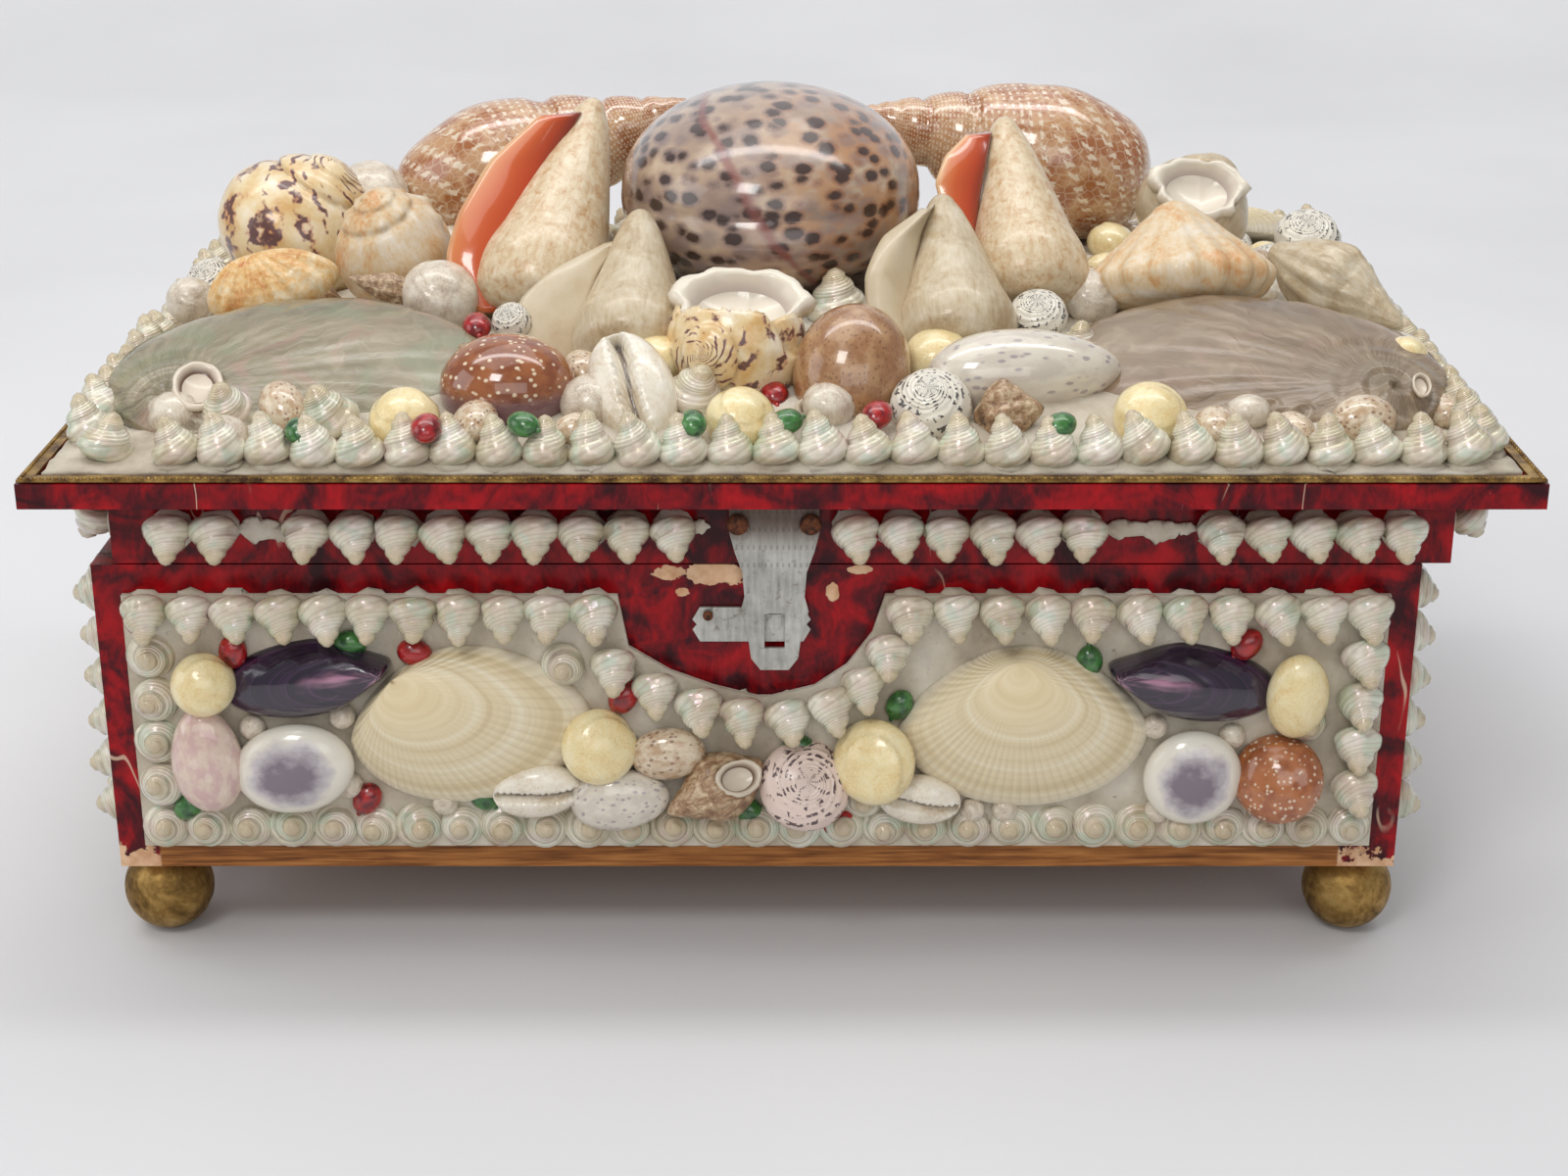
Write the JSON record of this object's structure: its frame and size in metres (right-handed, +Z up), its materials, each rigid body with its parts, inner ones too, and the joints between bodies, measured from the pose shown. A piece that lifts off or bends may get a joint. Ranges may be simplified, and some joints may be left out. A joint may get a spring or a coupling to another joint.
{
  "type": "shell box",
  "caption": "Hinged keepsake box on ball feet, covered in red mottled paper, its front, ends and mounded lid set with sea shells, closed by a tin hasp.",
  "frame": {"origin": "on the table under the middle of the lid board, lid shut", "axes": "+X to the viewer's right along the front, +Y to the back, +Z up"},
  "size_m": [0.28, 0.19, 0.1573],
  "materials": {
    "paper": "glossy printed paper with red and maroon mottling, cracked and worn",
    "wood": "bare brown wood, plain grain",
    "brass": "tarnished, mottled olive gold",
    "gilt": "embossed gilt paper, dulled",
    "tin": "grey tinned sheet with rust specks",
    "plaster": "rough white plaster",
    "pearl": "pearly shell with a green and pink sheen",
    "cream_shell": "ribbed cream shell, semi-gloss",
    "dark_shell": "polished purple-black shell",
    "spotted_shell": "polished grey-tan shell with brown spots",
    "orange_shell": "tan shell with a glossy orange lip",
    "bone_shell": "bleached cream shell, satin",
    "brown_shell": "polished brown shell with fine pale netting"
  },
  "bodies": {
    "box": {"ball_foot_back_left": "brass", "ball_foot_back_right": "brass", "ball_foot_front_left": "brass", "ball_foot_front_right": "brass", "case_back": "paper", "case_floor": "wood", "case_front": "paper", "case_left_end": "paper", "case_right_end": "paper", "catch_plate": "tin", "cockle_left": "cream_shell", "cockle_right": "cream_shell", "front_border": "pearl", "front_centre_shells": "bone_shell", "front_left_shells": "bone_shell", "front_plaster": "plaster", "front_right_shells": "bone_shell", "hinge_left_case_leaf": "tin", "hinge_right_case_leaf": "tin", "left_plaster": "plaster", "left_side_shells": "pearl", "mussel_left": "dark_shell", "mussel_right": "dark_shell", "right_plaster": "plaster", "right_side_shells": "pearl"},
    "lid": {"abalone_left": "pearl", "abalone_right": "bone_shell", "back_shells": "bone_shell", "bulla_brown": "brown_shell", "conch_orange_left": "orange_shell", "conch_orange_right": "orange_shell", "conch_white_left": "bone_shell", "conch_white_right": "bone_shell", "frame_back": "paper", "frame_front": "paper", "frame_left": "paper", "frame_right": "paper", "frame_shells_far_left": "pearl", "frame_shells_far_right": "pearl", "frame_shells_left": "pearl", "frame_shells_left_side": "pearl", "frame_shells_right": "pearl", "frame_shells_right_side": "pearl", "gilt_edging": "gilt", "hasp": "tin", "hinge_left_lid_leaf": "tin", "hinge_right_lid_leaf": "tin", "left_end_shells": "bone_shell", "lid_board": "paper", "lid_border": "pearl", "lid_plaster": "plaster", "olive_pale": "bone_shell", "pheasant_left": "brown_shell", "pheasant_right": "brown_shell", "right_end_shells": "bone_shell", "snakehead_cowrie": "brown_shell", "tiger_cowrie": "spotted_shell", "toothed_cowrie": "bone_shell", "turban_centre": "bone_shell"}
  },
  "joints": [
    {"name": "lid_hinge", "type": "hinge", "parent": "box", "child": "lid", "pos_m": [0, 0.0838, 0.08235], "axis": [-1, 0, 0], "range_deg": [0, 100]}
  ]
}
